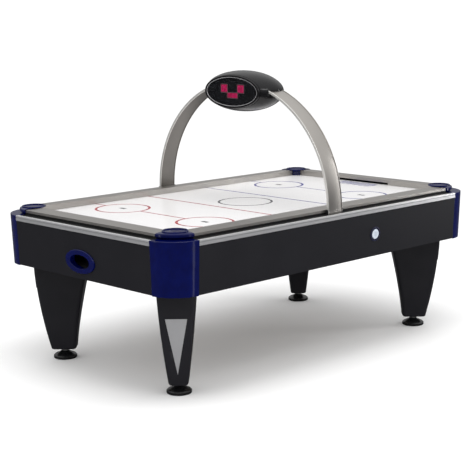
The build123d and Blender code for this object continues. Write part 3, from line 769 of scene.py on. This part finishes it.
def arch_band():
    """The arch's path: up one foot, round half an ellipse, and down the other foot."""
    low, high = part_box("arch")
    half_span = high.y - ARCH_HALF_THICKNESS
    rise = high.z - ARCH_HALF_THICKNESS - ARCH_SPRING
    turn = np.linspace(0.0, math.pi, 181)
    bow_z = ARCH_SPRING + rise * np.sin(turn)
    bow = np.stack([0 * turn, half_span * np.cos(turn), bow_z], -1)
    normal = np.stack([0 * turn, np.cos(turn) / half_span, np.sin(turn) / rise], -1)
    normal /= np.linalg.norm(normal, axis=1, keepdims=True)
    path = np.concatenate([[[0, half_span, low.z]], bow, [[0, -half_span, low.z]]])
    up = np.concatenate([[[0, 1, 0]], normal, [[0, -1, 0]]])
    across = np.tile((1.0, 0.0, 0.0), (len(path), 1))
    profile = arch_profile(high.x, ARCH_HALF_THICKNESS)
    mesh = tube_mesh("arch_band", carry(profile, path, across, up), False)
    piece = add_piece(mesh, "arch", smooth_angle=40.0)
    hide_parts("arch")


arch_band()


# ------------------------------------------------------------------------------------------
# Scoreboard: window rings, number blocks and digits
# ------------------------------------------------------------------------------------------
# The bars that light up in each number. They are lettered clockwise from the top, and g is the
# middle one.
SEGMENTS = {
    "0": "abcdef", "1": "bc", "2": "abdeg", "3": "abcdg", "4": "bcfg",
    "5": "acdfg", "6": "acdefg", "7": "abc", "8": "abcdefg", "9": "abcdfg",
}
BOARD_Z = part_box("scoreboard_shell_upper")[0].z

# The number blocks: width and height, the scores' places beside and above the board's middle,
# and the clock's place below it.
SCORE_SIZE = (0.050, 0.044)
SCORE_Y, SCORE_RISE = 0.063, 0.016
CLOCK_SIZE = (0.080, 0.029)
CLOCK_DROP = 0.0205
BAR_THICKNESS = 0.0005


def window_ring(end, facing):
    """A thin bright ring in the bezel, round the window's edge."""
    low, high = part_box(f"face_window_{end}")
    proud, inset = 0.0016, 0.0010
    x = facing * (max(abs(low.x), abs(high.x)) + proud)
    profile = rounded_rectangle(0.0028, 0.0032, 0.0010)
    semi_y, semi_z = high.y - inset, (high.z - low.z) / 2 - inset
    mesh = elliptic_ring(f"window_ring_{end}", x, facing, semi_y, semi_z, BOARD_Z, profile)
    add_piece(mesh, "ring")


def block_frame(name, x, facing, centre, size):
    """A thin rounded frame round one number block."""
    outline = rounded_rectangle(size[0] + 0.001, size[1] + 0.001, 0.002, 5)
    u, v = outline[:, 0], outline[:, 1]
    path = np.stack([0 * u + x, centre[0] + u, centre[1] + v], -1)
    ahead = np.roll(path, -1, 0) - np.roll(path, 1, 0)
    ahead /= np.linalg.norm(ahead, axis=1, keepdims=True)
    up = np.tile((facing, 0.0, 0.0), (len(path), 1))
    across = np.cross(ahead, up)
    profile = rounded_rectangle(0.0030, 0.0016, 0.0004, 3)
    return tube_mesh(name, carry(profile, path, across, up), True)


def glow_panel(name, x, facing, centre, size):
    """The lit sheet in a number block, one rounded plate a fraction of a millimetre thick."""
    margin, thickness = 0.003, 0.0003
    outline = rounded_rectangle(size[0] - margin, size[1] - margin, 0.0015, 4)
    u, v = outline[:, 0], outline[:, 1]
    flat = np.stack([0 * u, centre[0] + u, centre[1] + v], -1)
    rings = np.stack([flat + (x, 0, 0), flat + (x + facing * thickness, 0, 0)])
    return tube_mesh(name, rings, False)


def segment_bar(middle, half_length, half_width, upright, x, facing):
    """One bar of a digit: a long hexagon with pointed ends, as a thin plate."""
    length = np.array([1, 0.72, -0.72, -1, -0.72, 0.72]) * half_length
    width = np.array([0, 1, 1, 0, -1, -1]) * half_width
    across, along = (width, length) if upright else (length, width)
    flat = np.stack([0 * length, middle[0] + across, middle[1] + along], -1)
    rings = np.stack([flat + (x, 0, 0), flat + (x + facing * BAR_THICKNESS, 0, 0)])
    return tube_mesh("bar", rings, False)


def digit(character, centre, width, height, x, facing):
    """The bars of one digit, as wide and high as given, read from the side that it faces."""
    half_w, half_h, thick = width / 2, height / 2, width * 0.11
    bars = {
        "a": ((0, half_h), False), "b": ((half_w, half_h / 2), True),
        "c": ((half_w, -half_h / 2), True), "d": ((0, -half_h), False),
        "e": ((-half_w, -half_h / 2), True), "f": ((-half_w, half_h / 2), True),
        "g": ((0, 0), False),
    }
    made = []
    for letter in SEGMENTS[character]:
        (right, rise), upright = bars[letter]
        middle = (centre[0] + facing * right, centre[1] + rise)
        half_length = (half_h / 2 if upright else half_w) * 0.90
        made.append(segment_bar(middle, half_length, thick, upright, x, facing))
    return made


def number_blocks(end, facing):
    """The three blocks of one face: two scores above and the clock below."""
    low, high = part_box(f"led_display_{end}")
    x = facing * (max(abs(low.x), abs(high.x)) + 0.0002)
    digit_x = x + facing * 0.0005
    score_z = BOARD_Z + SCORE_RISE
    blocks = [
        ((SCORE_Y, score_z), SCORE_SIZE, "05", (-0.0115, 0.0115), (0.014, 0.028)),
        ((-SCORE_Y, score_z), SCORE_SIZE, "03", (-0.0115, 0.0115), (0.014, 0.028)),
        ((0.0, BOARD_Z - CLOCK_DROP), CLOCK_SIZE, "700", (-0.024, 0.006, 0.026), (0.0105, 0.019)),
    ]
    frames, panels, digits = [], [], []
    for centre, size, number, places, (digit_width, digit_height) in blocks:
        frames.append(block_frame("frame", x, facing, centre, size))
        panels.append(glow_panel("panel", x, facing, centre, size))
        for place, character in zip(places, number):
            spot = (centre[0] + facing * place, centre[1])
            digits += digit(character, spot, digit_width, digit_height, digit_x, facing)
    for colon_rise in (-0.004, 0.004):
        spot = (-facing * 0.009, BOARD_Z - CLOCK_DROP + colon_rise)
        digits.append(segment_bar(spot, 0.0013, 0.0012, True, digit_x, facing))
    add_piece(join(f"number_frames_{end}", frames), "painted_glow_number_frame")
    add_piece(join(f"number_panels_{end}", panels), "panel_glow")
    add_piece(join(f"number_digits_{end}", digits), "segments")


for end, facing in ENDS.items():
    window_ring(end, facing)
    number_blocks(end, facing)


# ------------------------------------------------------------------------------------------
# Studio: floor, light and camera
# ------------------------------------------------------------------------------------------
def lay_floor():
    """A very large flat disc of white paper under the table."""
    floor_radius = 90.0
    turn = np.linspace(0.0, 2 * math.pi, 96, endpoint=False)
    rim = floor_radius * np.stack([np.cos(turn), np.sin(turn), 0 * turn], -1)
    mesh = bpy.data.meshes.new("floor")
    mesh.from_pydata(rim.tolist(), [], [list(range(len(turn)))])
    floor = bpy.data.objects.new("floor", mesh)
    bpy.context.scene.collection.objects.link(floor)
    mesh.materials.append(studio_floor())


def light_the_room():
    """A white room: even light all round, and reflections that darken towards the horizon."""
    world = bpy.data.worlds.new("white_room")
    world.use_nodes = True
    bpy.context.scene.world = world
    room = Tree(world.node_tree)
    direction = room.node("ShaderNodeTexCoord", output="Generated")
    height = room.node("ShaderNodeSeparateXYZ", None, {0: direction}, output=2)
    stops = [
        (0.0, (0.10, 0.10, 0.105)),
        (0.14, (0.26, 0.26, 0.265)),
        (0.45, (0.60, 0.60, 0.60)),
        (1.0, (0.90, 0.90, 0.90)),
    ]
    reflected = room.node("ShaderNodeValToRGB", {"stops": stops}, {0: height})
    mirror_ray = room.node("ShaderNodeLightPath", output="Is Glossy Ray")
    background = room.tree.nodes["Background"]
    room.put(background.inputs["Color"], room.mix(mirror_ray, (1.0, 1.0, 1.0), reflected))
    background.inputs["Strength"].default_value = 1.15


def soft_box(name, place, target, size, power):
    """A rectangular soft light of so many watts, at a place and turned towards a target."""
    lamp = bpy.data.lights.new(name, "AREA")
    lamp.shape = "RECTANGLE"
    lamp.size, lamp.size_y = size
    lamp.energy = power
    light = bpy.data.objects.new(name, lamp)
    bpy.context.scene.collection.objects.link(light)
    away = np.array(place, float) - np.array(target, float)
    away /= np.linalg.norm(away)
    side = np.cross((0.0, 0.0, 1.0), away)
    side /= np.linalg.norm(side)
    above = np.cross(away, side)
    turned = Matrix([side, above, away]).transposed().to_4x4()
    light.matrix_world = Matrix.Translation(place) @ turned
    light.visible_camera = False
    return light


def set_camera():
    """Looks down at the near corner of the table from a distance, with a long lens."""
    place = (-4.7619, -4.8299, 1.8272)
    yaw, pitch, roll = math.radians(45.811), math.radians(10.372), math.radians(-0.700)
    ahead = np.array(
        [math.cos(pitch) * math.cos(yaw), math.cos(pitch) * math.sin(yaw), -math.sin(pitch)]
    )
    level = np.array([math.sin(yaw), -math.cos(yaw), 0.0])
    above = np.cross(level, ahead)
    right = math.cos(roll) * level + math.sin(roll) * above
    top = math.cos(roll) * above - math.sin(roll) * level
    turned = Matrix([right, top, -ahead]).transposed().to_4x4()
    lens = bpy.data.cameras.new("camera")
    lens.sensor_width = 36.0
    lens.lens = 94.73
    lens.clip_end = 300.0
    camera = bpy.data.objects.new("camera", lens)
    bpy.context.scene.collection.objects.link(camera)
    camera.matrix_world = Matrix.Translation(place) @ turned
    bpy.context.scene.camera = camera


lay_floor()
light_the_room()

# The overhead light is too large to be seen in the gloss of the scoreboard. The strips are
# there to be seen in it, and in the corner posts.
overhead = soft_box("overhead", (-0.4, -0.6, 4.2), (0.0, 0.0, 0.8), (3.0, 2.2), 70.0)
overhead.visible_glossy = False
soft_box("left_strip", (-3.8, 0.6, 1.0), (-1.05, -0.65, 0.7), (0.30, 1.6), 4.0)
soft_box("post_strip", (-0.55, -1.95, 0.65), (-1.05, -0.65, 0.65), (0.20, 1.2), 0.8)
soft_box("right_strip", (3.2, -2.2, 1.3), (0.0, -0.4, 0.8), (0.16, 2.2), 14.0)
soft_box("high_strip", (-1.4, -2.6, 3.4), (0.0, 0.0, 1.3), (1.8, 0.12), 12.0)
set_camera()
bpy.context.scene.view_settings.view_transform = "Standard"
